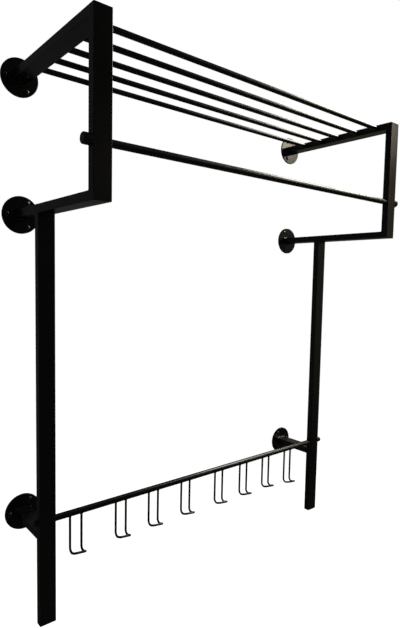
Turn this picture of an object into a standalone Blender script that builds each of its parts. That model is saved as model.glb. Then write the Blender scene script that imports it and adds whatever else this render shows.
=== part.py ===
"""Wall coat rack of black rectangular steel tube, with a hat shelf, a hanger rail and a row of wire hooks.

Metres, +Z up. The wall is the plane Y = 0 and the room lies towards -Y.
The origin is the middle of the upper left flange's back face, at the height of the top arms' middle.
"""
import math

import bmesh
import bpy
from mathutils import Vector

# Rectangular tube of the two side frames: its wide faces look up, down, to the room and to the wall
TUBE_WIDTH = 0.030
TUBE_DEPTH = 0.015
TUBE_WALL = 0.0015

# Side frames: spacing between their middles, depth off the wall, and heights below the top arms' middle
FRAME_SPACING = 0.757
RACK_DEPTH = 0.320
LOWER_ARM_DROP = 0.250
RACK_END_DROP = 0.9925
STANDOFF_DROP = 0.8265
LOWER_UPRIGHT_CLEARANCE = 0.109

# Round wall flanges and their countersunk screws
FLANGE_DIAMETER = 0.070
FLANGE_THICKNESS = 0.004
FLANGE_CHAMFER = 0.0006
SCREW_CIRCLE_DIAMETER = 0.052
SCREWS_PER_FLANGE = 3
SCREW_HEAD_DIAMETER = 0.009
SCREW_HEAD_RIM = 0.0003
SCREW_SHANK_DIAMETER = 0.0045
SCREW_RECESS_DEPTH = 0.0014
SCREW_RECESS_DIAMETER = 0.0040

# Hat shelf
SHELF_ROD_DIAMETER = 0.010
SHELF_ROD_COUNT = 5
SHELF_ROD_FIRST = 0.0665
SHELF_ROD_PITCH = RACK_DEPTH / 6
SHELF_ROD_SEAT = 0.006

# Hanger rail and the caps on its ends
HANGING_RAIL_DIAMETER = 0.012
HANGING_RAIL_DROP = 0.1745
CAP_DIAMETER = 0.017
CAP_LENGTH = 0.0130
CAP_BORE_DEPTH = 0.008
CAP_EDGE_RADIUS = 0.0020

# Hook rail, which stands out a little further at its right end
HOOK_RAIL_DIAMETER = 0.012
HOOK_RAIL_DROP = 0.8010
HOOK_RAIL_OVERHANG = 0.008
HOOK_RAIL_RIGHT_EXTRA = 0.006
HOOK_RAIL_CHAMFER = 0.0008

# Wire hooks, set by hand on the real rack and not evenly: how far the first and last hooks' middles lie from
# the side frames' middles, each hook's shift to the right of an even pitch, and how much further down it
# hangs. The slant is how much lower than the left prong a hook's right prong reaches
HOOK_FIRST = 0.0570
HOOK_LAST = 0.1033
HOOK_SHIFTS = (0, 0.0113, 0.0040, 0.0035, 0.0158, 0.0098, 0.0029, 0)
HOOK_EXTRA_DROPS = (0, 0, 0, 0, 0.0025, 0.003, 0.0035, 0.0125)
HOOK_WIRE_DIAMETER = 0.0045
HOOK_WIRE_SPACING = 0.023
HOOK_STRAIGHT = 0.067
HOOK_BEND_RADIUS = 0.0075
HOOK_BEND_ANGLE = 110.0
HOOK_FOOT = 0.0095
HOOK_CORNER_RADIUS = 0.003
HOOK_SLANT = 0.0028
HOOK_SEAT = 0.005

# Plastic plug in the free end of each lower upright
PLUG_RIM = 0.0015
PLUG_INSERT = 0.012

# Gap kept between pieces that touch or are welded together
FIT_GAP = 0.0003

# Sides of round shapes
FLANGE_SIDES = 48
BAR_SIDES = 24
SCREW_SIDES = 12
WIRE_BEVEL_RESOLUTION = 2
WIRE_HOLE_SIDES = 12
BEND_STEPS = 6
CORNER_STEPS = 4
EDGE_STEPS = 3
SMOOTH_ANGLE = math.radians(35)

X_AXIS = Vector((1, 0, 0))
UP = Vector((0, 0, 1))
DOWN = Vector((0, 0, -1))
TO_ROOM = Vector((0, -1, 0))

# Each side's middle along X, and the way that faces out of the rack
SIDES = {"left": (0.0, -1), "right": (FRAME_SPACING, 1)}
FLANGE_HEIGHTS = {"upper": 0.0, "middle": -LOWER_ARM_DROP, "lower": -STANDOFF_DROP}

# Lines that several pieces share
FLANGE_FRONT = -FLANGE_THICKNESS
FRONT_UPRIGHT_Y = -(RACK_DEPTH - TUBE_DEPTH / 2)
LOWER_UPRIGHT_BACK_Y = -LOWER_UPRIGHT_CLEARANCE
LOWER_UPRIGHT_Y = LOWER_UPRIGHT_BACK_Y - TUBE_DEPTH / 2
LOWER_UPRIGHT_TOP_Z = -LOWER_ARM_DROP - TUBE_DEPTH / 2
HOOK_PITCH = (FRAME_SPACING - HOOK_FIRST - HOOK_LAST) / (len(HOOK_SHIFTS) - 1)
HOOK_MIDDLES = [HOOK_FIRST + HOOK_PITCH * index + shift for index, shift in enumerate(HOOK_SHIFTS)]


def clear_scene():
    for old in list(bpy.data.objects):
        bpy.data.objects.remove(old, do_unlink=True)


def make_material(name, colour, roughness, metallic):
    material = bpy.data.materials.new(name)
    material.use_nodes = True
    shader = material.node_tree.nodes["Principled BSDF"]
    shader.inputs["Base Color"].default_value = (*colour, 1)
    shader.inputs["Roughness"].default_value = roughness
    shader.inputs["Metallic"].default_value = metallic
    return material


def add_object(name, data, material, root, location=(0, 0, 0), rotation=(0, 0, 0)):
    piece = bpy.data.objects.new(name, data)
    bpy.context.collection.objects.link(piece)
    piece.parent = root
    piece.location = location
    piece.rotation_euler = rotation
    data.materials.append(material)
    return piece


def add_cutter(name, mesh, root):
    cutter = bpy.data.objects.new(name, mesh)
    bpy.context.collection.objects.link(cutter)
    cutter.parent = root
    cutter.hide_render = True
    cutter.display_type = "WIRE"
    return cutter


def cut(piece, cutter):
    boolean = piece.modifiers.new("holes", "BOOLEAN")
    boolean.operation = "DIFFERENCE"
    boolean.solver = "EXACT"
    boolean.object = cutter


def mesh_from_bmesh(name, work, smooth=False):
    bmesh.ops.recalc_face_normals(work, faces=work.faces)
    mesh = bpy.data.meshes.new(name)
    work.to_mesh(mesh)
    work.free()
    if smooth:
        mesh.shade_smooth()
        mesh.set_sharp_from_angle(angle=SMOOTH_ANGLE)
    return mesh


def turn(work, profile, sides, origin, axis):
    """Add a turned solid. The profile is (radius, distance along axis), from the axis round to the axis."""
    across = axis.orthogonal().normalized()
    along = axis.cross(across).normalized()
    rings = []
    for radius, distance in profile:
        middle = origin + axis * distance
        if radius == 0:
            rings.append([work.verts.new(middle)])
            continue
        ring = []
        for step in range(sides):
            angle = 2 * math.pi * step / sides
            spoke = across * math.cos(angle) + along * math.sin(angle)
            ring.append(work.verts.new(middle + spoke * radius))
        rings.append(ring)
    for low, high in zip(rings, rings[1:]):
        for step in range(sides):
            following = (step + 1) % sides
            corners = [low[step % len(low)], low[following % len(low)]]
            corners += [high[following % len(high)], high[step % len(high)]]
            work.faces.new(list(dict.fromkeys(corners)))


def turned_mesh(name, profile, sides, axis):
    work = bmesh.new()
    turn(work, profile, sides, Vector((0, 0, 0)), axis)
    return mesh_from_bmesh(name, work, smooth=True)


def bar_profile(radius, length, chamfer=0.0):
    if chamfer == 0:
        return [(0, 0), (radius, 0), (radius, length), (0, length)]
    return [(0, 0), (radius - chamfer, 0), (radius, chamfer),
            (radius, length - chamfer), (radius - chamfer, length), (0, length)]


def cylinder_cutter(name, starts, axis, radius, length, sides, root):
    """One cutter holding a cylinder at each start point."""
    work = bmesh.new()
    for start in starts:
        turn(work, bar_profile(radius, length), sides, start, axis)
    return add_cutter(name, mesh_from_bmesh(name, work), root)


def tube_mesh(name, axis, thin, length, start_slope=0, end_slope=0):
    """Rectangular tube from the local origin along axis, wide along X.

    A slope of 0 is a square end. A slope of 1 or -1 is a 45 degree mitre, longer or shorter on the thin side.
    """
    work = bmesh.new()
    loops = []
    for inset in (0, TUBE_WALL):
        half_width = TUBE_WIDTH / 2 - inset
        half_depth = TUBE_DEPTH / 2 - inset
        corners = [(half_width, half_depth), (-half_width, half_depth),
                   (-half_width, -half_depth), (half_width, -half_depth)]
        for reach, slope in ((0, start_slope), (length, end_slope)):
            loop = []
            for across, deep in corners:
                point = X_AXIS * across + thin * deep + axis * (reach + slope * deep)
                loop.append(work.verts.new(point))
            loops.append(loop)
    outer_start, outer_end, inner_start, inner_end = loops
    for one, other in ((outer_start, outer_end), (inner_start, inner_end),
                       (outer_start, inner_start), (outer_end, inner_end)):
        for index in range(4):
            following = (index + 1) % 4
            work.faces.new((one[index], one[following], other[following], other[index]))
    return mesh_from_bmesh(name, work)


def build_side_frame(side, root, paint, plastic):
    middle, outward = SIDES[side]
    mitre_gap = FIT_GAP / 2 * math.sqrt(2)
    arm_length = -FRONT_UPRIGHT_Y - FLANGE_THICKNESS - FIT_GAP - mitre_gap
    arm_start = FLANGE_FRONT - FIT_GAP

    top_arm = add_object(
        f"{side}_top_arm",
        tube_mesh(f"{side}_top_arm", TO_ROOM, UP, arm_length, end_slope=1),
        paint, root, (middle, arm_start, 0))
    add_object(
        f"{side}_lower_arm",
        tube_mesh(f"{side}_lower_arm", TO_ROOM, UP, arm_length, end_slope=-1),
        paint, root, (middle, arm_start, -LOWER_ARM_DROP))
    front_upright = add_object(
        f"{side}_front_upright",
        tube_mesh(f"{side}_front_upright", DOWN, TO_ROOM, LOWER_ARM_DROP - 2 * mitre_gap, -1, 1),
        paint, root, (middle, FRONT_UPRIGHT_Y, -mitre_gap))

    upright_top = LOWER_UPRIGHT_TOP_Z - FIT_GAP
    upright_length = RACK_END_DROP - PLUG_RIM - FIT_GAP + upright_top
    lower_upright = add_object(
        f"{side}_lower_upright",
        tube_mesh(f"{side}_lower_upright", DOWN, TO_ROOM, upright_length),
        paint, root, (middle, LOWER_UPRIGHT_Y, upright_top))
    standoff_length = LOWER_UPRIGHT_CLEARANCE - FLANGE_THICKNESS - 2 * FIT_GAP
    add_object(
        f"{side}_standoff",
        tube_mesh(f"{side}_standoff", TO_ROOM, UP, standoff_length),
        paint, root, (middle, arm_start, -STANDOFF_DROP))
    add_object(
        f"{side}_end_plug", plug_mesh(f"{side}_end_plug"),
        plastic, root, (middle, LOWER_UPRIGHT_Y, -RACK_END_DROP))

    drill_arm(side, top_arm, middle, outward, root)
    drill_upright(front_upright, middle, FRONT_UPRIGHT_Y, -HANGING_RAIL_DROP, HANGING_RAIL_DIAMETER, root)
    drill_upright(lower_upright, middle, LOWER_UPRIGHT_Y, -HOOK_RAIL_DROP, HOOK_RAIL_DIAMETER, root)


def shelf_rod_places():
    return [-(SHELF_ROD_FIRST + SHELF_ROD_PITCH * index) for index in range(SHELF_ROD_COUNT)]


def drill_arm(side, arm, middle, outward, root):
    """Holes for the shelf rods, through the arm's inner side wall only."""
    inner_face = middle - outward * TUBE_WIDTH / 2
    starts = [Vector((inner_face - outward * TUBE_WALL, y, 0)) for y in shelf_rod_places()]
    cut(arm, cylinder_cutter(
        f"{side}_shelf_rod_holes", starts, X_AXIS * outward,
        SHELF_ROD_DIAMETER / 2 + FIT_GAP, 3 * TUBE_WALL, BAR_SIDES, root))


def drill_upright(upright, middle, y, z, rail_diameter, root):
    """A hole for a rail, through both side walls of an upright."""
    start = Vector((middle - TUBE_WIDTH, y, z))
    cut(upright, cylinder_cutter(
        f"{upright.name}_rail_hole", [start], X_AXIS,
        rail_diameter / 2 + FIT_GAP, 2 * TUBE_WIDTH, BAR_SIDES, root))


def plug_mesh(name):
    """A rim as large as the tube, with an insert that fills the tube's hollow."""
    work = bmesh.new()
    bmesh.ops.create_cube(work, size=1)
    for vert in work.verts:
        vert.co = Vector((vert.co.x * TUBE_WIDTH, vert.co.y * TUBE_DEPTH, (vert.co.z + 0.5) * PLUG_RIM))
    top = max(work.faces, key=lambda face: face.calc_center_median().z)
    bmesh.ops.inset_individual(work, faces=[top], thickness=TUBE_WALL + FIT_GAP, use_even_offset=True)
    raised = bmesh.ops.extrude_face_region(work, geom=[top])
    moved = [item for item in raised["geom"] if isinstance(item, bmesh.types.BMVert)]
    bmesh.ops.translate(work, verts=moved, vec=UP * PLUG_INSERT)
    bmesh.ops.delete(work, geom=[top], context="FACES_ONLY")
    return mesh_from_bmesh(name, work)


def screw_places(outward):
    """Offsets of a flange's screws from its middle. The first one points out of the rack."""
    places = []
    for index in range(SCREWS_PER_FLANGE):
        angle = 2 * math.pi * index / SCREWS_PER_FLANGE
        across = outward * math.cos(angle) * SCREW_CIRCLE_DIAMETER / 2
        places.append(Vector((across, 0, math.sin(angle) * SCREW_CIRCLE_DIAMETER / 2)))
    return places


def screw_cone_depth():
    return (SCREW_HEAD_DIAMETER - SCREW_SHANK_DIAMETER) / 2


def build_flange(side, level, root, paint, zinc):
    middle, outward = SIDES[side]
    height = FLANGE_HEIGHTS[level]
    centre = Vector((middle, 0, height))
    radius = FLANGE_DIAMETER / 2
    rim = [(0, 0), (radius, 0), (radius, FLANGE_THICKNESS - FLANGE_CHAMFER),
           (radius - FLANGE_CHAMFER, FLANGE_THICKNESS), (0, FLANGE_THICKNESS)]
    name = f"{side}_{level}_flange"
    flange = add_object(name, turned_mesh(name, rim, FLANGE_SIDES, TO_ROOM), paint, root, centre)

    head = SCREW_HEAD_DIAMETER / 2
    shank = SCREW_SHANK_DIAMETER / 2
    face = FLANGE_THICKNESS
    cone_end = face - SCREW_HEAD_RIM - screw_cone_depth()
    hole = [(0, -face), (shank + FIT_GAP, -face), (shank + FIT_GAP, cone_end),
            (head + FIT_GAP, face - SCREW_HEAD_RIM), (head + FIT_GAP, 2 * face), (0, 2 * face)]
    holes = bmesh.new()
    for place in screw_places(outward):
        turn(holes, hole, SCREW_SIDES, centre + place, TO_ROOM)
    cut(flange, add_cutter(f"{name}_holes", mesh_from_bmesh(f"{name}_holes", holes), root))

    recess = SCREW_RECESS_DIAMETER / 2
    screw = [(0, FIT_GAP), (shank, FIT_GAP), (shank, cone_end), (head, face - SCREW_HEAD_RIM), (head, face),
             (recess, face), (0, face - SCREW_RECESS_DEPTH)]
    for number, place in enumerate(screw_places(outward), start=1):
        screw_name = f"{side}_{level}_screw_{number}"
        mesh = turned_mesh(screw_name, screw, SCREW_SIDES, TO_ROOM)
        add_object(screw_name, mesh, zinc, root, centre + place)


def build_shelf_rods(root, paint):
    start = TUBE_WIDTH / 2 - SHELF_ROD_SEAT
    length = FRAME_SPACING - 2 * start
    for number, y in enumerate(shelf_rod_places(), start=1):
        name = f"shelf_rod_{number}"
        mesh = turned_mesh(name, bar_profile(SHELF_ROD_DIAMETER / 2, length), BAR_SIDES, X_AXIS)
        add_object(name, mesh, paint, root, (start, y, 0))


def cap_profile():
    """A cup with a flat end and a rounded edge, whose mouth faces the upright."""
    outer = CAP_DIAMETER / 2
    bore = HANGING_RAIL_DIAMETER / 2 + FIT_GAP
    profile = [(0, CAP_BORE_DEPTH), (bore, CAP_BORE_DEPTH), (bore, FIT_GAP), (outer, FIT_GAP)]
    for step in range(EDGE_STEPS + 1):
        angle = math.pi / 2 * step / EDGE_STEPS
        profile.append((outer - CAP_EDGE_RADIUS * (1 - math.cos(angle)),
                        CAP_LENGTH - CAP_EDGE_RADIUS * (1 - math.sin(angle))))
    profile.append((0, CAP_LENGTH))
    return profile


def build_hanging_rail(root, paint):
    overhang = TUBE_WIDTH / 2 + CAP_BORE_DEPTH - FIT_GAP
    length = FRAME_SPACING + 2 * overhang
    place = (-overhang, FRONT_UPRIGHT_Y, -HANGING_RAIL_DROP)
    profile = bar_profile(HANGING_RAIL_DIAMETER / 2, length)
    add_object("hanging_rail", turned_mesh("hanging_rail", profile, BAR_SIDES, X_AXIS), paint, root, place)
    for side, (middle, outward) in SIDES.items():
        name = f"hanging_rail_{side}_cap"
        mesh = turned_mesh(name, cap_profile(), BAR_SIDES, X_AXIS * outward)
        mouth = (middle + outward * TUBE_WIDTH / 2, FRONT_UPRIGHT_Y, -HANGING_RAIL_DROP)
        add_object(name, mesh, paint, root, mouth)


def build_hook_rail(root, paint):
    overhang = TUBE_WIDTH / 2 + HOOK_RAIL_OVERHANG
    length = FRAME_SPACING + 2 * overhang + HOOK_RAIL_RIGHT_EXTRA
    radius = HOOK_RAIL_DIAMETER / 2
    profile = bar_profile(radius, length, HOOK_RAIL_CHAMFER)
    place = (-overhang, LOWER_UPRIGHT_Y, -HOOK_RAIL_DROP)
    rail = add_object("hook_rail", turned_mesh("hook_rail", profile, BAR_SIDES, X_AXIS), paint, root, place)

    hole_top = -HOOK_RAIL_DROP - radius + HOOK_SEAT + FIT_GAP
    starts = []
    for middle in HOOK_MIDDLES:
        for offset in (-HOOK_WIRE_SPACING / 2, HOOK_WIRE_SPACING / 2):
            starts.append(Vector((middle + offset, LOWER_UPRIGHT_Y, hole_top)))
    cut(rail, cylinder_cutter(
        "hook_prong_holes", starts, DOWN, HOOK_WIRE_DIAMETER / 2 + FIT_GAP,
        HOOK_RAIL_DIAMETER, WIRE_HOLE_SIDES, root))


def arc(centre, start, towards, angle, steps):
    """Points round a circle from centre + start, turning towards the second direction, first one left out."""
    points = []
    for step in range(1, steps + 1):
        turned = angle * step / steps
        points.append(centre + start * math.cos(turned) + towards * math.sin(turned))
    return points


def hook_half_path(extra_drop):
    """Half a hook: down the left prong, round the bend, along the foot and to the crossbar's middle.

    The local origin is on the rail's axis, halfway between the prongs.
    """
    half = HOOK_WIRE_SPACING / 2
    bend = math.radians(HOOK_BEND_ANGLE)
    prong = -X_AXIS * half
    straight = HOOK_STRAIGHT + extra_drop
    points = [prong + DOWN * (HOOK_RAIL_DIAMETER / 2 - HOOK_SEAT), prong + DOWN * straight]
    bend_centre = points[-1] + TO_ROOM * HOOK_BEND_RADIUS
    points += arc(bend_centre, -TO_ROOM * HOOK_BEND_RADIUS, DOWN * HOOK_BEND_RADIUS, bend, BEND_STEPS)
    along_foot = TO_ROOM * math.sin(bend) + DOWN * math.cos(bend)
    points.append(points[-1] + along_foot * (HOOK_FOOT - HOOK_CORNER_RADIUS))
    corner_centre = points[-1] + X_AXIS * HOOK_CORNER_RADIUS
    points += arc(corner_centre, -X_AXIS * HOOK_CORNER_RADIUS, along_foot * HOOK_CORNER_RADIUS,
                  math.pi / 2, CORNER_STEPS)
    return points


def hook_curve(name, extra_drop):
    left = hook_half_path(extra_drop)
    right = [Vector((-point.x, point.y, point.z)) for point in reversed(left)]
    points = left + right
    straight = HOOK_STRAIGHT + extra_drop
    for point in points:
        reach = min(-point.z / straight, 1.0)
        point.z -= HOOK_SLANT * point.x / HOOK_WIRE_SPACING * reach
    curve = bpy.data.curves.new(name, "CURVE")
    curve.dimensions = "3D"
    curve.fill_mode = "FULL"
    curve.bevel_depth = HOOK_WIRE_DIAMETER / 2
    curve.bevel_resolution = WIRE_BEVEL_RESOLUTION
    curve.use_fill_caps = True
    spline = curve.splines.new("POLY")
    spline.points.add(len(points) - 1)
    for target, point in zip(spline.points, points):
        target.co = (*point, 1)
    spline.use_smooth = True
    return curve


def build_hooks(root, paint):
    for number, (middle, extra_drop) in enumerate(zip(HOOK_MIDDLES, HOOK_EXTRA_DROPS), start=1):
        name = f"hook_{number}"
        place = (middle, LOWER_UPRIGHT_Y, -HOOK_RAIL_DROP)
        add_object(name, hook_curve(name, extra_drop), paint, root, place)


def main():
    clear_scene()
    root = bpy.data.objects.new("coat_rack", None)
    bpy.context.collection.objects.link(root)
    paint = make_material("black_powder_coat", (0.004, 0.004, 0.004), 0.30, 0.0)
    plastic = make_material("black_plastic", (0.010, 0.010, 0.010), 0.55, 0.0)
    zinc = make_material("black_zinc_screw", (0.12, 0.12, 0.12), 0.35, 1.0)
    for side in SIDES:
        build_side_frame(side, root, paint, plastic)
        for level in FLANGE_HEIGHTS:
            build_flange(side, level, root, paint, zinc)
    build_shelf_rods(root, paint)
    build_hanging_rail(root, paint)
    build_hook_rail(root, paint)
    build_hooks(root, paint)


main()
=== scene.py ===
import math

import bmesh
import bpy
from mathutils import Matrix, Vector


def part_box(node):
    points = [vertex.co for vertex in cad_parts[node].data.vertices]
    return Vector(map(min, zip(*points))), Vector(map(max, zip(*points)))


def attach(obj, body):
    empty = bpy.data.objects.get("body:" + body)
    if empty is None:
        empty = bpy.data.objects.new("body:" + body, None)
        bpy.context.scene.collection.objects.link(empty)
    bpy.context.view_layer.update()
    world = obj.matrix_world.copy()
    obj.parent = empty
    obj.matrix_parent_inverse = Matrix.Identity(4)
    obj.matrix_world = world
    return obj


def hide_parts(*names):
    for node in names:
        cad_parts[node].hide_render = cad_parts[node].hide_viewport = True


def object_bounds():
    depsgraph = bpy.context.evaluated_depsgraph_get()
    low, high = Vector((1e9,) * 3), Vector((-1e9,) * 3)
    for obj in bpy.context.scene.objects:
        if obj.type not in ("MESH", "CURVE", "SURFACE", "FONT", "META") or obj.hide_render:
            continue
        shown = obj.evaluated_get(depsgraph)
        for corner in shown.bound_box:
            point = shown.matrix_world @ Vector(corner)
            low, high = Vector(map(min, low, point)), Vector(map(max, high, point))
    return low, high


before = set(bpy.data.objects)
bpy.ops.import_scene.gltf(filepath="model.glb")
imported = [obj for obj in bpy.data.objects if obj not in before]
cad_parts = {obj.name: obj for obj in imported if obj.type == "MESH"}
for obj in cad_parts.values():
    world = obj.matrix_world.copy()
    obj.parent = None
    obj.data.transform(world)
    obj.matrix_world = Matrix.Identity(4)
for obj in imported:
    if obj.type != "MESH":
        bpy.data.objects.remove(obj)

CAD_LOW, CAD_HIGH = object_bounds()

SIDES = ("left", "right")
LEVELS = ("upper", "middle", "lower")
SCREW_NUMBERS = (1, 2, 3)
SHELF_ROD_NUMBERS = (1, 2, 3, 4, 5)
HOOK_NUMBERS = (1, 2, 3, 4, 5, 6, 7, 8)

# Drawn tube: corner radius, and the rounding of the ground mitres
TUBE_CORNER = 0.0010
TUBE_CORNER_STEPS = 5
MITRE_OUTER = 0.0010
MITRE_INNER = 0.0024
MITRE_STEPS = 4
TUBE_SINK = 0.0004

# Weld beads: leg length, face profile in legs, ripple pitch and ripple height as a share of the leg
FLANGE_WELD_LEG = 0.0018
BUTT_WELD_LEG = 0.0016
WELD_SINK = 0.0004
WELD_FACE = ((0.96, 0.16), (0.62, 0.56), (0.18, 0.95))
WELD_RIPPLE = 0.0019
WELD_RIPPLE_SHARE = 0.035
WELD_STEP = 0.00048
WELD_TAPER = 0.0022
WELD_END_SHARE = 0.15

# Wall flanges and raised countersunk screws with a cross recess, each turned by its own number of degrees
FLANGE_RIM = 0.0010
FLANGE_BACK_EDGE = 0.0003
FLANGE_SIDES = 96
RIM_STEPS = 5
HOLE_CLEARANCE = 0.0002
SCREW_SHANK_RADIUS = 0.00225
SCREW_SIDES = 48
SCREW_CROWN = 0.0017
SCREW_EDGE = 0.00025
RECESS_LENGTH = 0.0048
RECESS_WIDTH = 0.0011
RECESS_DEPTH = 0.0019
RECESS_MOUTH_SHARE = 1.5
RECESS_FLOOR_SHARE = 0.45
SCREW_TURNS = (12, 47, 71)
SCREW_SIDE_TURN = 30

# Round bars
BAR_SIDES = 48
ROD_WELD = 0.0007
ROD_WELD_STEPS = 4
RAIL_EDGE = 0.0009
CAP_EDGE = 0.0019
CAP_MOUTH_EDGE = 0.0004
CAP_MOUTH_WEAR = 0.5
CAP_DISH_RADIUS_SHARE = 0.50
CAP_DISH_FLOOR_SHARE = 0.9
CAP_DISH_DEPTH = 0.0002
EDGE_STEPS = 6

# Wire hooks, with the right prong lower than the left one by the slant
HOOK_ROOT_SHARE = 0.5
HOOK_BEND_RADIUS = 0.0075
HOOK_BEND_ANGLE = math.radians(110)
HOOK_FOOT = 0.0095
HOOK_CORNER_RADIUS = 0.003
HOOK_SLANT = 0.0028
HOOK_WELD = 0.0009
HOOK_WELD_STEPS = 5
BEND_STEPS = 18
CORNER_STEPS = 10
WIRE_SIDES = 20

# End plugs
PLUG_GAP = 0.0001
PLUG_EDGE = 0.0006
PLUG_STEPS = 4

SHARP_ANGLE = math.radians(40)
FLAT_FACE_WEIGHT = 100
WEAR = "wear"
X_AXIS = Vector((1, 0, 0))
UP = Vector((0, 0, 1))
DOWN = Vector((0, 0, -1))
TO_ROOM = Vector((0, -1, 0))
TO_WALL = Vector((0, 1, 0))

# Finishes: colours, roughness from glossy to dull, noise as (scale, detail) and ranges of that noise
PAINT_COLOURS = ((0.0010, 0.0010, 0.00095), (0.0018, 0.0018, 0.0017))
PAINT_RUBBED = (0.006, 0.006, 0.0058)
PAINT_DUST = (0.006, 0.0058, 0.0054)
PAINT_ROUGHNESS = (0.20, 0.28)
PAINT_DUST_ROUGHER = 0.10
PAINT_RUBBED_SMOOTHER = 0.03
PAINT_CLOUD = (7.0, 3.0)
PAINT_PEEL = (620.0, 2.0)
PAINT_GRAIN = (2600.0, 1.0)
PAINT_PATCH = (60.0, 4.0)
CLOUD_RANGE = (0.30, 0.70)
RUBBED_RANGE = (0.42, 0.66)
DUST_RANGE = (0.40, 0.80)
PAINT_PEEL_HEIGHT = 0.00008
PAINT_GRAIN_HEIGHT = 0.00002
PAINT_RELIEF = 0.12
DUST_SLOPE = (0.55, 1.0)
DUST_AMOUNT = (0.15, 0.75)
ZINC_COLOURS = ((0.20, 0.20, 0.20), (0.11, 0.11, 0.108))
ZINC_ROUGHNESS = (0.40, 0.55)
ZINC_STAIN = (420.0, 4.0)
ZINC_MARKS = (5200.0, 2.0)
ZINC_COLOUR_RANGE = (0.35, 0.75)
ZINC_ROUGHNESS_RANGE = (0.30, 0.75)
ZINC_MARK_HEIGHT = 0.00002
ZINC_RELIEF = 0.4
PLASTIC_COLOURS = ((0.010, 0.010, 0.010), (0.016, 0.016, 0.016))
PLASTIC_ROUGHNESS = (0.50, 0.62)
PLASTIC_GRAIN = (1900.0, 3.0)
PLASTIC_CLOUD = (60.0, 2.0)
PLASTIC_GRAIN_HEIGHT = 0.00004
PLASTIC_RELIEF = 0.5
FLOOR_COLOURS = ((0.80, 0.80, 0.79), (0.84, 0.84, 0.83))
FLOOR_TONE = (3.0, 3.0)
FLOOR_ROUGHNESS = 0.7

# Camera of the photograph
IMAGE_WIDTH = 400
FOCAL_PIXELS = 503.18
SENSOR_WIDTH = 36.0
CAMERA_PLACE = Vector((-0.3479, -0.9620, -0.3653))
CAMERA_YAW = math.radians(39.860)
CAMERA_PITCH = math.radians(-4.451)
CAMERA_ROLL = math.radians(-1.147)
CAMERA_SHIFT = (-0.00856, 0.01315)

# Stage: floor as far below the rack as it usually hangs, a room that only reflections see, two soft boxes.
# Each edge is the range of a direction's X, Y or Z over which a part of that room fades in.
FLOOR_DROP = 0.90
FLOOR_RADIUS = 3.0
FLOOR_SIDES = 96
FLOOR_LIFT = 0.45
FLOOR_MIRRORED = (0.025, 0.025, 0.022)
WORLD_FILL = 0.70
FRONT_REFLECTION = 0.016
BACK_REFLECTION = 0.050
RIGHT_REFLECTION = 0.15
RIGHT_COLOUR = (1.0, 0.84, 0.58)
BACKDROP_REFLECTION = 0.26
BACKDROP_EDGE_X = (0.50, 0.80)
BACKDROP_EDGE_Y = (-0.45, 0.10)
BACKDROP_EDGE_Z = (0.05, 0.45)
ROOM_EDGE_Y = (-0.20, 0.50)
RIGHT_EDGE_X = (0.50, 0.90)
RIGHT_EDGE_Z = (-0.35, -0.05)
WHITE = (1.0, 1.0, 1.0)
TOP_BOX = {
    "place": (2.28, -0.30, 1.20),
    "aim": (0.55, -0.15, -0.15),
    "size": (1.35, 0.75),
    "radiance": 11.0,
    "colour": (1.0, 0.98, 0.89),
}
SIDE_BOX = {
    "place": (4.33, -3.25, 1.38),
    "aim": (0.70, -0.10, 0.0),
    "size": (0.60, 0.60),
    "radiance": 15.0,
    "colour": (1.0, 0.87, 0.70),
}


# Mesh helpers


def new_work():
    work = bmesh.new()
    work.verts.layers.float.new(WEAR)
    return work


def add_ring(work, points, wear):
    """One vert for each point. Wear is one number for the ring or one for each point."""
    layer = work.verts.layers.float[WEAR]
    ring = []
    for index, point in enumerate(points):
        vert = work.verts.new(point)
        vert[layer] = wear[index] if isinstance(wear, (list, tuple)) else wear
        ring.append(vert)
    return ring


def bridge(work, low, high):
    """Faces between two rings, one of which may be a single point."""
    count = max(len(low), len(high))
    for step in range(count):
        following = (step + 1) % count
        corners = [low[step % len(low)], low[following % len(low)],
                   high[following % len(high)], high[step % len(high)]]
        work.faces.new(list(dict.fromkeys(corners)))


def loft(work, rings, looped=False):
    """Skin over a row of rings, closed at both ends or joined up into a loop."""
    for low, high in zip(rings, rings[1:]):
        bridge(work, low, high)
    if looped:
        bridge(work, rings[-1], rings[0])
        return
    for end in (rings[0], rings[-1]):
        if len(end) > 2:
            work.faces.new(end)


def turn(work, profile, sides, origin, axis):
    """Turned solid from rows of (radius, distance along the axis, wear) that start and end on the axis."""
    across = axis.orthogonal().normalized()
    along = axis.cross(across).normalized()
    spokes = []
    for step in range(sides):
        angle = 2 * math.pi * step / sides
        spokes.append(across * math.cos(angle) + along * math.sin(angle))
    rings = []
    for radius, distance, wear in profile:
        middle = origin + axis * distance
        points = [middle + spoke * radius for spoke in spokes] if radius > 0 else [middle]
        rings.append(add_ring(work, points, wear))
    loft(work, rings)


def rounded_edge(radius, distance, size, steps):
    """Quarter round of a turned profile, from its side onto its end face."""
    rows = []
    for step in range(steps + 1):
        share = step / steps
        angle = math.pi / 2 * share
        rows.append((radius - size * (1 - math.cos(angle)),
                     distance - size * (1 - math.sin(angle)),
                     math.sin(math.pi * share)))
    return rows


def sweep(work, path, radii, sides):
    """Round wire along a row of points, each with its own radius, closed at both ends."""
    tangents = []
    for index in range(len(path)):
        before = path[max(index - 1, 0)]
        after = path[min(index + 1, len(path) - 1)]
        tangents.append((after - before).normalized())
    across = tangents[0].orthogonal().normalized()
    rings = []
    for point, tangent, radius in zip(path, tangents, radii):
        across = (across - tangent * across.dot(tangent)).normalized()
        along = tangent.cross(across)
        points = []
        for step in range(sides):
            angle = 2 * math.pi * step / sides
            points.append(point + (across * math.cos(angle) + along * math.sin(angle)) * radius)
        rings.append(add_ring(work, points, 0.0))
    loft(work, rings)


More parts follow.
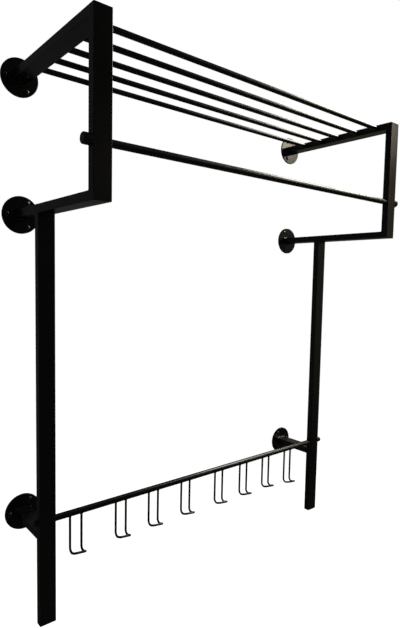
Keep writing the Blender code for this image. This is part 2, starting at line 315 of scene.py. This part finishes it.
def rounded_outline(half_wide, half_deep, radius, steps):
    """Rows of (across, deep, wear, direction out) round a rectangle. Wear is 1 at the middle of a corner."""
    outline = []
    for quarter in range(4):
        wide = (half_wide - radius) * (1 if quarter in (0, 3) else -1)
        deep = (half_deep - radius) * (1 if quarter in (0, 1) else -1)
        for step in range(steps + 1):
            share = step / steps
            angle = math.pi / 2 * (quarter + share)
            out = (math.cos(angle), math.sin(angle))
            outline.append((wide + radius * out[0], deep + radius * out[1], math.sin(math.pi * share), out))
    return outline


def mesh_of(name, work):
    bmesh.ops.recalc_face_normals(work, faces=work.faces)
    mesh = bpy.data.meshes.new(name)
    work.to_mesh(mesh)
    work.free()
    return mesh


def add_piece(name, mesh, material, nodes=()):
    """Show a mesh as part of the rack, in place of the named solids."""
    mesh.shade_smooth()
    mesh.set_sharp_from_angle(angle=SHARP_ANGLE)
    mesh.materials.append(material)
    piece = bpy.data.objects.new(name, mesh)
    bpy.context.collection.objects.link(piece)
    even = piece.modifiers.new("even_flats", "WEIGHTED_NORMAL")
    even.weight = FLAT_FACE_WEIGHT
    even.keep_sharp = True
    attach(piece, "root")
    if nodes:
        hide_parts(*nodes)


def carve(mesh, cutter):
    """The mesh without the cutter's volume."""
    body = bpy.data.objects.new("body", mesh)
    tool = bpy.data.objects.new("tool", cutter)
    for item in (body, tool):
        bpy.context.collection.objects.link(item)
    boolean = body.modifiers.new("carve", "BOOLEAN")
    boolean.operation = "DIFFERENCE"
    boolean.solver = "EXACT"
    boolean.object = tool
    graph = bpy.context.evaluated_depsgraph_get()
    carved = bpy.data.meshes.new_from_object(body.evaluated_get(graph))
    for item in (body, tool):
        bpy.data.objects.remove(item, do_unlink=True)
    return carved


def middle_of(node):
    low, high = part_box(node)
    return (low + high) / 2


def size_of(node):
    low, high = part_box(node)
    return high - low


# Places that several pieces share
TUBE_HALF_WIDE = size_of("left_top_arm").x / 2
TUBE_HALF_DEEP = size_of("left_top_arm").z / 2
FLANGE_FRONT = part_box("left_upper_flange")[0].y
FLANGE_THICKNESS = size_of("left_upper_flange").y
TUBE_OUTLINE = rounded_outline(TUBE_HALF_WIDE, TUBE_HALF_DEEP, TUBE_CORNER, TUBE_CORNER_STEPS)
TUBE_WEAR = [wear for across, deep, wear, out in TUBE_OUTLINE]


# Side frames


def corner_points(corner, before, after, radius):
    """Quarter round that takes off a corner between two directions of travel."""
    centre = corner - before * radius + after * radius
    points = []
    for step in range(MITRE_STEPS + 1):
        angle = math.pi / 2 * step / MITRE_STEPS
        points.append(centre - after * radius * math.cos(angle) + before * radius * math.sin(angle))
    return points


def build_upper_frame(side, paint):
    """Top arm, front upright and lower arm as one welded bow with ground mitres."""
    nodes = [f"{side}_top_arm", f"{side}_front_upright", f"{side}_lower_arm"]
    top, upright, low = [middle_of(node) for node in nodes]
    wall_end = FLANGE_FRONT + TUBE_SINK
    starts, ends, upper_corners, lower_corners = [], [], [], []
    for across, deep, wear, out in TUBE_OUTLINE:
        x = top.x + across
        front = upright.y - deep
        share = (deep + TUBE_HALF_DEEP) / (2 * TUBE_HALF_DEEP)
        radius = MITRE_INNER + (MITRE_OUTER - MITRE_INNER) * share
        starts.append(Vector((x, wall_end, top.z + deep)))
        upper_corners.append(corner_points(Vector((x, front, top.z + deep)), TO_ROOM, DOWN, radius))
        lower_corners.append(corner_points(Vector((x, front, low.z - deep)), DOWN, TO_WALL, radius))
        ends.append(Vector((x, wall_end, low.z - deep)))
    rows = [starts, *zip(*upper_corners), *zip(*lower_corners), ends]
    work = new_work()
    loft(work, [add_ring(work, row, TUBE_WEAR) for row in rows])
    add_piece(f"{side}_upper_frame", mesh_of(f"{side}_upper_frame", work), paint, nodes)


def straight_tube(start, end, thin):
    """Tube between two middles, with its thin side along the given direction."""
    work = new_work()
    rings = []
    for middle in (start, end):
        points = [middle + X_AXIS * across + thin * deep for across, deep, wear, out in TUBE_OUTLINE]
        rings.append(add_ring(work, points, TUBE_WEAR))
    loft(work, rings)
    return work


def build_lower_upright(side, paint):
    node = f"{side}_lower_upright"
    middle = middle_of(node)
    arm_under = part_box(f"{side}_lower_arm")[0].z
    plug_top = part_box(node)[0].z
    start = Vector((middle.x, middle.y, arm_under + TUBE_SINK))
    end = Vector((middle.x, middle.y, plug_top))
    add_piece(f"{side}_lower_upright_tube", mesh_of(node, straight_tube(start, end, TO_ROOM)),
              paint, [node])

    bead = new_work()
    for towards in (TO_ROOM, TO_WALL):
        edge = Vector((middle.x, middle.y, arm_under)) + towards * TUBE_HALF_DEEP
        straight_bead(bead, edge, towards, DOWN, BUTT_WELD_LEG)
    add_piece(f"{side}_lower_upright_weld", mesh_of("weld", bead), paint)


def build_standoff(side, paint):
    node = f"{side}_standoff"
    middle = middle_of(node)
    upright_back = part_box(f"{side}_lower_upright")[1].y
    start = Vector((middle.x, FLANGE_FRONT + TUBE_SINK, middle.z))
    end = Vector((middle.x, upright_back - TUBE_SINK, middle.z))
    add_piece(f"{side}_standoff_tube", mesh_of(node, straight_tube(start, end, UP)),
              paint, [node])

    bead = new_work()
    for towards in (UP, DOWN):
        edge = Vector((middle.x, upright_back, middle.z)) + towards * TUBE_HALF_DEEP
        straight_bead(bead, edge, towards, TO_WALL, BUTT_WELD_LEG)
    add_piece(f"{side}_standoff_weld", mesh_of("weld", bead), paint)


# Weld beads


def bead_section(foot, out, away, leg):
    """A fillet's section: out lies along the face it stands on, away lies along the tube it runs round."""
    sink = -WELD_SINK
    face = [(leg * along, leg * up) for along, up in WELD_FACE]
    return [foot + out * along + away * up for along, up in [(sink, sink), (leg, sink), *face, (sink, leg)]]


def rippled(leg, distance):
    return leg * (1 + WELD_RIPPLE_SHARE * math.sin(2 * math.pi * distance / WELD_RIPPLE))


def straight_bead(work, edge, out, away, leg):
    """Fillet along a tube's wide face, tapering off at both ends."""
    length = 2 * (TUBE_HALF_WIDE - TUBE_CORNER / 2)
    count = round(length / WELD_STEP)
    rings = []
    for step in range(count + 1):
        distance = length * step / count
        from_end = min(distance, length - distance)
        taper = math.sqrt(min(from_end / WELD_TAPER, 1.0)) * (1 - WELD_END_SHARE) + WELD_END_SHARE
        foot = edge + X_AXIS * (distance - length / 2)
        rings.append(add_ring(work, bead_section(foot, out, away, rippled(leg * taper, distance)), 0.0))
    loft(work, rings)


def flange_bead(work, middle):
    """Fillet all the way round a tube where it stands on a flange."""
    feet = []
    for index, (across, deep, wear, out) in enumerate(TUBE_OUTLINE):
        next_across, next_deep, next_wear, next_out = TUBE_OUTLINE[(index + 1) % len(TUBE_OUTLINE)]
        start, end = Vector((across, 0, deep)), Vector((next_across, 0, next_deep))
        out_start, out_end = Vector((out[0], 0, out[1])), Vector((next_out[0], 0, next_out[1]))
        pieces = max(1, round((end - start).length / WELD_STEP))
        for piece in range(pieces):
            share = piece / pieces
            feet.append((start.lerp(end, share), out_start.lerp(out_end, share).normalized()))
    rings = []
    distance = 0.0
    previous = feet[-1][0]
    for foot, out in feet:
        distance += (foot - previous).length
        previous = foot
        section = bead_section(middle + foot, out, TO_ROOM, rippled(FLANGE_WELD_LEG, distance))
        rings.append(add_ring(work, section, 0.0))
    loft(work, rings, looped=True)


# Wall flanges and screws


def flange_mesh(side):
    """Flange plate at the origin, with its countersunk holes where that side's screws are."""
    radius = size_of("left_upper_flange").x / 2
    work = new_work()
    back = [(0, 0, 0), (radius - FLANGE_BACK_EDGE, 0, 0), (radius, FLANGE_BACK_EDGE, 0)]
    rim = rounded_edge(radius, FLANGE_THICKNESS, FLANGE_RIM, RIM_STEPS)
    turn(work, [*back, *rim, (0, FLANGE_THICKNESS, 0)], FLANGE_SIDES, Vector(), TO_ROOM)
    plate = mesh_of("flange_plate", work)

    head = size_of("left_upper_screw_1").x / 2
    holes = new_work()
    hole = [(0, -FLANGE_THICKNESS), (SCREW_SHANK_RADIUS, -FLANGE_THICKNESS),
            (SCREW_SHANK_RADIUS, FLANGE_THICKNESS - head + SCREW_SHANK_RADIUS - SCREW_EDGE),
            (head, FLANGE_THICKNESS - SCREW_EDGE), (head + SCREW_EDGE, FLANGE_THICKNESS),
            (head + SCREW_EDGE, 2 * FLANGE_THICKNESS), (0, 2 * FLANGE_THICKNESS)]
    widened = [(width + HOLE_CLEARANCE if width else 0, distance, 0) for width, distance in hole]
    for number in SCREW_NUMBERS:
        place = middle_of(f"{side}_upper_screw_{number}") - middle_of(f"{side}_upper_flange")
        turn(holes, widened, SCREW_SIDES, Vector((place.x, 0, place.z)), TO_ROOM)
    return carve(plate, mesh_of("flange_holes", holes))


def recess_wing(work, turned):
    """One of the two crossing wedges of a cross recess, narrowing towards its floor."""
    rings = []
    for depth, share in ((-RECESS_DEPTH, RECESS_MOUTH_SHARE), (RECESS_DEPTH, RECESS_FLOOR_SHARE)):
        half_long = RECESS_LENGTH / 2 * share
        half_wide = RECESS_WIDTH / 2 * (1 + share) / 2
        corners = ((half_long, half_wide), (-half_long, half_wide),
                   (-half_long, -half_wide), (half_long, -half_wide))
        points = []
        for long, wide in corners:
            across, up = (wide, long) if turned else (long, wide)
            points.append(Vector((across, -FLANGE_THICKNESS + depth, up)))
        rings.append(add_ring(work, points, 0.0))
    loft(work, rings)


def screw_mesh():
    """Countersunk screw at the origin, from the wall plane to its raised, domed head."""
    head = size_of("left_upper_screw_1").x / 2
    face = FLANGE_THICKNESS
    cone = [(0, 0, 0), (SCREW_SHANK_RADIUS, 0, 0),
            (SCREW_SHANK_RADIUS, face - head + SCREW_SHANK_RADIUS - SCREW_EDGE, 0),
            (head - SCREW_EDGE / 2, face - SCREW_EDGE, 1),
            (head - SCREW_EDGE / 2, face - SCREW_EDGE / 2, 1)]
    dome = []
    for step in range(1, EDGE_STEPS + 1):
        share = step / EDGE_STEPS
        dome.append((head * (1 - share), face - SCREW_EDGE / 2 + SCREW_CROWN * (1 - (1 - share) ** 2), 0))
    work = new_work()
    turn(work, [*cone, *dome], SCREW_SIDES, Vector(), TO_ROOM)
    screw = mesh_of("screw", work)
    for turned in (False, True):
        wing = new_work()
        recess_wing(wing, turned)
        screw = carve(screw, mesh_of("wing", wing))
    return screw


def build_flanges(side, paint, zinc):
    plate = flange_mesh(side)
    screw = screw_mesh()
    tubes = {"upper": "top_arm", "middle": "lower_arm", "lower": "standoff"}
    for level in LEVELS:
        node = f"{side}_{level}_flange"
        middle = middle_of(node)
        centre = Vector((middle.x, 0, middle.z))
        placed = plate.copy()
        placed.transform(Matrix.Translation(centre))
        add_piece(f"{node}_plate", placed, paint, [node])

        bead = new_work()
        tube = middle_of(f"{side}_{tubes[level]}")
        flange_bead(bead, Vector((tube.x, FLANGE_FRONT, tube.z)))
        add_piece(f"{node}_weld", mesh_of("weld", bead), paint)

        for number, degrees in zip(SCREW_NUMBERS, SCREW_TURNS):
            screw_node = f"{side}_{level}_screw_{number}"
            place = middle_of(screw_node)
            turned = math.radians(degrees * (1 + LEVELS.index(level)) + SCREW_SIDE_TURN * SIDES.index(side))
            copy = screw.copy()
            copy.transform(Matrix.Translation((place.x, 0, place.z)) @ Matrix.Rotation(turned, 4, "Y"))
            add_piece(f"{screw_node}_head", copy, zinc, [screw_node])


# Round bars


def build_shelf_rods(paint):
    faces = (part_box("left_top_arm")[1].x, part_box("right_top_arm")[0].x)
    for number in SHELF_ROD_NUMBERS:
        node = f"shelf_rod_{number}"
        middle = middle_of(node)
        radius = size_of(node).z / 2
        length = faces[1] - faces[0]
        fillet = []
        for step in range(ROD_WELD_STEPS + 1):
            angle = math.pi / 2 * step / ROD_WELD_STEPS
            fillet.append((radius + ROD_WELD * (1 - math.sin(angle)), ROD_WELD * (1 - math.cos(angle)), 0))
        far = [(width, length - distance, 0) for width, distance, wear in reversed(fillet)]
        ends = [(radius + ROD_WELD, -TUBE_SINK, 0), (radius + ROD_WELD, length + TUBE_SINK, 0)]
        profile = [(0, -TUBE_SINK, 0), ends[0], *fillet, *far, ends[1], (0, length + TUBE_SINK, 0)]
        work = new_work()
        turn(work, profile, BAR_SIDES, Vector((faces[0], middle.y, middle.z)), X_AXIS)
        add_piece(f"{node}_bar", mesh_of(node, work), paint, [node])


def build_rail(node, paint):
    """Straight round bar with eased ends."""
    low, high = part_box(node)
    middle = (low + high) / 2
    radius = (high.z - low.z) / 2
    length = high.x - low.x
    far = rounded_edge(radius, length, RAIL_EDGE, EDGE_STEPS)
    near = [(width, length - distance, wear) for width, distance, wear in reversed(far)]
    work = new_work()
    turn(work, [(0, 0, 0), *near, *far, (0, length, 0)], BAR_SIDES,
         Vector((low.x, middle.y, middle.z)), X_AXIS)
    add_piece(f"{node}_bar", mesh_of(node, work), paint, [node])


def build_cap(side, paint):
    """Turned cap on the hanging rail's end: eased mouth, well rounded edge and a slightly dished face."""
    node = f"hanging_rail_{side}_cap"
    low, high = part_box(node)
    middle = (low + high) / 2
    radius = (high.z - low.z) / 2
    length = high.x - low.x
    outward = -1 if side == "left" else 1
    mouth_x = high.x if side == "left" else low.x
    mouth = [(radius - CAP_MOUTH_EDGE, 0, 0), (radius, CAP_MOUTH_EDGE, CAP_MOUTH_WEAR)]
    edge = rounded_edge(radius, length, CAP_EDGE, EDGE_STEPS)
    dish = radius * CAP_DISH_RADIUS_SHARE
    floor = length - CAP_DISH_DEPTH
    face = [(dish, length, 0), (dish * CAP_DISH_FLOOR_SHARE, floor, 0), (0, floor, 0)]
    work = new_work()
    turn(work, [(0, 0, 0), *mouth, *edge, *face], BAR_SIDES,
         Vector((mouth_x, middle.y, middle.z)), X_AXIS * outward)
    add_piece(f"{node}_turned", mesh_of(node, work), paint, [node])


# Wire hooks


def arc_points(centre, start, towards, angle, steps):
    points = []
    for step in range(1, steps + 1):
        turned = angle * step / steps
        points.append(centre + start * math.cos(turned) + towards * math.sin(turned))
    return points


def hook_half(prong, wire, straight):
    """Half a hook's wire with its radii: down the left prong, round the bend and along the foot."""
    rail_radius = size_of("hook_rail").z / 2
    path = [prong + DOWN * (rail_radius * HOOK_ROOT_SHARE)]
    radii = [wire + HOOK_WELD]
    for step in range(HOOK_WELD_STEPS + 1):
        angle = math.pi / 2 * step / HOOK_WELD_STEPS
        path.append(prong + DOWN * (rail_radius + HOOK_WELD * (1 - math.cos(angle))))
        radii.append(wire + HOOK_WELD * (1 - math.sin(angle)))
    path.append(prong + DOWN * straight)
    bend_centre = path[-1] + TO_ROOM * HOOK_BEND_RADIUS
    path += arc_points(bend_centre, TO_WALL * HOOK_BEND_RADIUS, DOWN * HOOK_BEND_RADIUS,
                       HOOK_BEND_ANGLE, BEND_STEPS)
    along_foot = TO_ROOM * math.sin(HOOK_BEND_ANGLE) + DOWN * math.cos(HOOK_BEND_ANGLE)
    path.append(path[-1] + along_foot * (HOOK_FOOT - HOOK_CORNER_RADIUS))
    corner_centre = path[-1] + X_AXIS * HOOK_CORNER_RADIUS
    path += arc_points(corner_centre, -X_AXIS * HOOK_CORNER_RADIUS, along_foot * HOOK_CORNER_RADIUS,
                       math.pi / 2, CORNER_STEPS)
    radii += [wire] * (len(path) - len(radii))
    return path, radii


def build_hook(number, paint):
    """One bent wire, whose right prong reaches a little lower than its left one."""
    node = f"hook_{number}"
    low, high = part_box(node)
    middle = (low.x + high.x) / 2
    rail = middle_of("hook_rail")
    wire = high.y - rail.y
    spacing = high.x - low.x - 2 * wire
    straight = rail.z - low.z - HOOK_BEND_RADIUS - wire - HOOK_SLANT / 2
    path, radii = hook_half(Vector((low.x + wire, rail.y, rail.z)), wire, straight)
    path += [Vector((2 * middle - point.x, point.y, point.z)) for point in reversed(path)]
    for point in path:
        reach = min((rail.z - point.z) / straight, 1.0)
        point.z -= HOOK_SLANT * (point.x - middle) / spacing * reach
    work = new_work()
    sweep(work, path, radii + radii[::-1], WIRE_SIDES)
    add_piece(f"{node}_wire", mesh_of(node, work), paint, [node])


# End plugs


def build_end_plug(side, plastic):
    """Moulded plug whose rim closes the lower upright's free end."""
    node = f"{side}_end_plug"
    low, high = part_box(node)
    middle = (low + high) / 2
    rim_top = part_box(f"{side}_lower_upright")[0].z - PLUG_GAP
    rows = []
    for step in range(PLUG_STEPS + 1):
        angle = math.pi / 2 * step / PLUG_STEPS
        rows.append((PLUG_EDGE * (1 - math.sin(angle)), low.z + PLUG_EDGE * (1 - math.cos(angle))))
    rows.append((0.0, rim_top))
    rows.append((TUBE_CORNER, rim_top))
    rows.append((TUBE_CORNER, high.z))
    work = new_work()
    rings = []
    for inset, height in rows:
        outline = rounded_outline(TUBE_HALF_WIDE - PLUG_GAP - inset, TUBE_HALF_DEEP - PLUG_GAP - inset,
                                  TUBE_CORNER, TUBE_CORNER_STEPS)
        points = [Vector((middle.x + across, middle.y + deep, height))
                  for across, deep, wear, out in outline]
        rings.append(add_ring(work, points, 0.0))
    loft(work, rings)
    add_piece(f"{node}_moulding", mesh_of(node, work), plastic, [node])


# Materials


def new_material(name):
    material = bpy.data.materials.new(name)
    material.use_nodes = True
    return material, material.node_tree, material.node_tree.nodes["Principled BSDF"]


def add_noise(tree, place, kind):
    scale, detail = kind
    noise = tree.nodes.new("ShaderNodeTexNoise")
    noise.inputs["Scale"].default_value = scale
    noise.inputs["Detail"].default_value = detail
    tree.links.new(place, noise.inputs["Vector"])
    return noise.outputs["Fac"]


def add_range(tree, value, source, target=(0.0, 1.0)):
    """Smooth step from one range of values to another."""
    mapped = tree.nodes.new("ShaderNodeMapRange")
    mapped.interpolation_type = "SMOOTHSTEP"
    mapped.inputs["From Min"].default_value, mapped.inputs["From Max"].default_value = source
    mapped.inputs["To Min"].default_value, mapped.inputs["To Max"].default_value = target
    tree.links.new(value, mapped.inputs["Value"])
    return mapped.outputs["Result"]


def add_math(tree, operation, *values):
    """A Math node over sockets and plain numbers."""
    result = tree.nodes.new("ShaderNodeMath")
    result.operation = operation
    for index, value in enumerate(values):
        if isinstance(value, (int, float)):
            result.inputs[index].default_value = value
        else:
            tree.links.new(value, result.inputs[index])
    return result.outputs[0]


def add_mix(tree, factor, first, second):
    """Mix of two colours, each a colour or a socket."""
    mix = tree.nodes.new("ShaderNodeMix")
    mix.data_type = "RGBA"
    tree.links.new(factor, mix.inputs["Factor"])
    sockets = [socket for socket in mix.inputs if socket.type == "RGBA"]
    for socket, colour in zip(sockets, (first, second)):
        if isinstance(colour, tuple):
            socket.default_value = (*colour, 1)
        else:
            tree.links.new(colour, socket)
    return next(socket for socket in mix.outputs if socket.type == "RGBA")


def add_bump(tree, height, distance, strength, below=None):
    bump = tree.nodes.new("ShaderNodeBump")
    bump.inputs["Distance"].default_value = distance
    bump.inputs["Strength"].default_value = strength
    tree.links.new(height, bump.inputs["Height"])
    if below is not None:
        tree.links.new(below, bump.inputs["Normal"])
    return bump.outputs["Normal"]


def object_place(tree):
    return tree.nodes.new("ShaderNodeTexCoord").outputs["Object"]


def paint_material():
    """Satin black powder coat: orange peel, cloudy gloss, a trace of dust on top and rubbed corners."""
    material, tree, shader = new_material("black_powder_coat_finish")
    place = object_place(tree)
    cloud = add_noise(tree, place, PAINT_CLOUD)
    peel = add_noise(tree, place, PAINT_PEEL)
    grain = add_noise(tree, place, PAINT_GRAIN)
    patch = add_noise(tree, place, PAINT_PATCH)

    worn = tree.nodes.new("ShaderNodeAttribute")
    worn.attribute_name = WEAR
    rubbed = add_math(tree, "MULTIPLY", worn.outputs["Fac"], add_range(tree, patch, RUBBED_RANGE))

    facing = tree.nodes.new("ShaderNodeSeparateXYZ")
    tree.links.new(tree.nodes.new("ShaderNodeNewGeometry").outputs["Normal"], facing.inputs[0])
    upward = add_range(tree, facing.outputs["Z"], DUST_SLOPE)
    dust = add_math(tree, "MULTIPLY", upward, add_range(tree, patch, DUST_RANGE, DUST_AMOUNT))

    colour = add_mix(tree, cloud, *PAINT_COLOURS)
    colour = add_mix(tree, rubbed, colour, PAINT_RUBBED)
    colour = add_mix(tree, dust, colour, PAINT_DUST)
    tree.links.new(colour, shader.inputs["Base Color"])

    rough = add_range(tree, cloud, CLOUD_RANGE, PAINT_ROUGHNESS)
    rough = add_math(tree, "ADD", rough, add_math(tree, "MULTIPLY", dust, PAINT_DUST_ROUGHER))
    rough = add_math(tree, "SUBTRACT", rough, add_math(tree, "MULTIPLY", rubbed, PAINT_RUBBED_SMOOTHER))
    tree.links.new(rough, shader.inputs["Roughness"])
    relief = add_bump(tree, grain, PAINT_GRAIN_HEIGHT, PAINT_RELIEF)
    relief = add_bump(tree, peel, PAINT_PEEL_HEIGHT, PAINT_RELIEF, relief)
    tree.links.new(relief, shader.inputs["Normal"])
    return material


def zinc_material():
    """Black zinc plate with faint turning marks and a cloudy, slightly stained surface."""
    material, tree, shader = new_material("black_zinc_finish")
    place = object_place(tree)
    stain = add_noise(tree, place, ZINC_STAIN)
    marks = add_noise(tree, place, ZINC_MARKS)
    colour = add_mix(tree, add_range(tree, stain, ZINC_COLOUR_RANGE), *ZINC_COLOURS)
    tree.links.new(colour, shader.inputs["Base Color"])
    shader.inputs["Metallic"].default_value = 1.0
    rough = add_range(tree, stain, ZINC_ROUGHNESS_RANGE, ZINC_ROUGHNESS)
    tree.links.new(rough, shader.inputs["Roughness"])
    tree.links.new(add_bump(tree, marks, ZINC_MARK_HEIGHT, ZINC_RELIEF), shader.inputs["Normal"])
    return material


def plastic_material():
    """Matt black moulded plastic with a fine spark-eroded grain."""
    material, tree, shader = new_material("black_plastic_finish")
    place = object_place(tree)
    grain = add_noise(tree, place, PLASTIC_GRAIN)
    cloud = add_noise(tree, place, PLASTIC_CLOUD)
    tree.links.new(add_mix(tree, cloud, *PLASTIC_COLOURS), shader.inputs["Base Color"])
    tree.links.new(add_range(tree, cloud, CLOUD_RANGE, PLASTIC_ROUGHNESS), shader.inputs["Roughness"])
    tree.links.new(add_bump(tree, grain, PLASTIC_GRAIN_HEIGHT, PLASTIC_RELIEF), shader.inputs["Normal"])
    return material


def floor_material():
    """Pale floor that keeps a shadow. The camera sees it lifted to white, and reflections see it dim."""
    material, tree, shader = new_material("pale_floor")
    place = object_place(tree)
    tone = add_noise(tree, place, FLOOR_TONE)
    path = tree.nodes.new("ShaderNodeLightPath").outputs
    pale = add_mix(tree, tone, *FLOOR_COLOURS)
    tree.links.new(add_mix(tree, path["Is Glossy Ray"], pale, FLOOR_MIRRORED), shader.inputs["Base Color"])
    shader.inputs["Roughness"].default_value = FLOOR_ROUGHNESS
    seen = add_math(tree, "MAXIMUM", path["Is Camera Ray"], path["Is Transmission Ray"])
    shader.inputs["Emission Color"].default_value = (*WHITE, 1)
    tree.links.new(add_math(tree, "MULTIPLY", seen, FLOOR_LIFT), shader.inputs["Emission Strength"])
    return material


# Stage, light and camera


def build_floor():
    work = new_work()
    points = []
    for step in range(FLOOR_SIDES):
        angle = 2 * math.pi * step / FLOOR_SIDES
        points.append(Vector((math.cos(angle), math.sin(angle), 0)) * FLOOR_RADIUS)
    centre = (CAD_LOW + CAD_HIGH) / 2
    offset = Vector((centre.x, centre.y, CAD_LOW.z - FLOOR_DROP))
    work.faces.new(add_ring(work, [point + offset for point in points], 0.0))
    mesh = mesh_of("floor", work)
    mesh.materials.append(floor_material())
    floor = bpy.data.objects.new("floor", mesh)
    bpy.context.collection.objects.link(floor)


def build_world():
    """White to the camera. Reflections see a backdrop at the upper right, a warm side and a dim room."""
    world = bpy.data.worlds.new("studio")
    bpy.context.scene.world = world
    world.use_nodes = True
    tree = world.node_tree
    direction = tree.nodes.new("ShaderNodeSeparateXYZ")
    tree.links.new(tree.nodes.new("ShaderNodeTexCoord").outputs["Generated"], direction.inputs[0])
    right = add_range(tree, direction.outputs["X"], BACKDROP_EDGE_X)
    above = add_range(tree, direction.outputs["Z"], BACKDROP_EDGE_Z)
    behind = add_range(tree, direction.outputs["Y"], BACKDROP_EDGE_Y)
    backdrop = add_math(tree, "MULTIPLY", add_math(tree, "MULTIPLY", right, above), behind)
    backdrop = add_math(tree, "MULTIPLY", backdrop, BACKDROP_REFLECTION)
    room = add_range(tree, direction.outputs["Y"], ROOM_EDGE_Y, (FRONT_REFLECTION, BACK_REFLECTION))
    level = add_range(tree, direction.outputs["Z"], RIGHT_EDGE_Z, (0.0, RIGHT_REFLECTION))
    side = add_range(tree, direction.outputs["X"], RIGHT_EDGE_X)
    glow = add_math(tree, "MULTIPLY", side, level)
    reflected = add_math(tree, "MAXIMUM", backdrop, add_math(tree, "ADD", room, glow))

    path = tree.nodes.new("ShaderNodeLightPath").outputs
    seen = add_math(tree, "MAXIMUM", path["Is Camera Ray"], path["Is Transmission Ray"])
    mirrored = add_math(tree, "MULTIPLY", path["Is Glossy Ray"], reflected)
    fill = add_math(tree, "MULTIPLY", path["Is Diffuse Ray"], WORLD_FILL)
    strength = add_math(tree, "MAXIMUM", seen, add_math(tree, "MAXIMUM", mirrored, fill))
    background = tree.nodes["Background"]
    warmth = add_math(tree, "MULTIPLY", path["Is Glossy Ray"], side)
    tree.links.new(add_mix(tree, warmth, WHITE, RIGHT_COLOUR), background.inputs["Color"])
    tree.links.new(strength, background.inputs["Strength"])


def build_soft_box(name, box):
    width, height = box["size"]
    light = bpy.data.lights.new(name, "AREA")
    light.shape = "RECTANGLE"
    light.size = width
    light.size_y = height
    light.color = box["colour"]
    light.energy = box["radiance"] * math.pi * width * height
    lamp = bpy.data.objects.new(name, light)
    bpy.context.collection.objects.link(lamp)
    place = Vector(box["place"])
    lamp.location = place
    lamp.rotation_mode = "QUATERNION"
    lamp.rotation_quaternion = (Vector(box["aim"]) - place).to_track_quat("-Z", "Y")
    lamp.visible_camera = False


def build_camera():
    ahead = Vector((math.sin(CAMERA_YAW) * math.cos(CAMERA_PITCH),
                    math.cos(CAMERA_YAW) * math.cos(CAMERA_PITCH), math.sin(CAMERA_PITCH)))
    level_right = Vector((math.cos(CAMERA_YAW), -math.sin(CAMERA_YAW), 0))
    level_down = ahead.cross(level_right)
    right = level_right * math.cos(CAMERA_ROLL) + level_down * math.sin(CAMERA_ROLL)
    up = level_right * math.sin(CAMERA_ROLL) - level_down * math.cos(CAMERA_ROLL)
    lens = bpy.data.cameras.new("photo_camera")
    lens.sensor_fit = "HORIZONTAL"
    lens.sensor_width = SENSOR_WIDTH
    lens.lens = SENSOR_WIDTH * FOCAL_PIXELS / IMAGE_WIDTH
    lens.shift_x, lens.shift_y = CAMERA_SHIFT
    camera = bpy.data.objects.new("photo_camera", lens)
    bpy.context.collection.objects.link(camera)
    turned = Matrix((right, up, -ahead)).transposed().to_4x4()
    camera.matrix_world = Matrix.Translation(CAMERA_PLACE) @ turned
    bpy.context.scene.camera = camera


def main():
    paint, zinc, plastic = paint_material(), zinc_material(), plastic_material()
    for side in SIDES:
        build_upper_frame(side, paint)
        build_lower_upright(side, paint)
        build_standoff(side, paint)
        build_flanges(side, paint, zinc)
        build_end_plug(side, plastic)
        build_cap(side, paint)
    build_shelf_rods(paint)
    build_rail("hanging_rail", paint)
    build_rail("hook_rail", paint)
    for number in HOOK_NUMBERS:
        build_hook(number, paint)
    build_floor()
    build_world()
    build_soft_box("top_box", TOP_BOX)
    build_soft_box("side_box", SIDE_BOX)
    build_camera()
    bpy.context.scene.view_settings.view_transform = "Standard"


main()
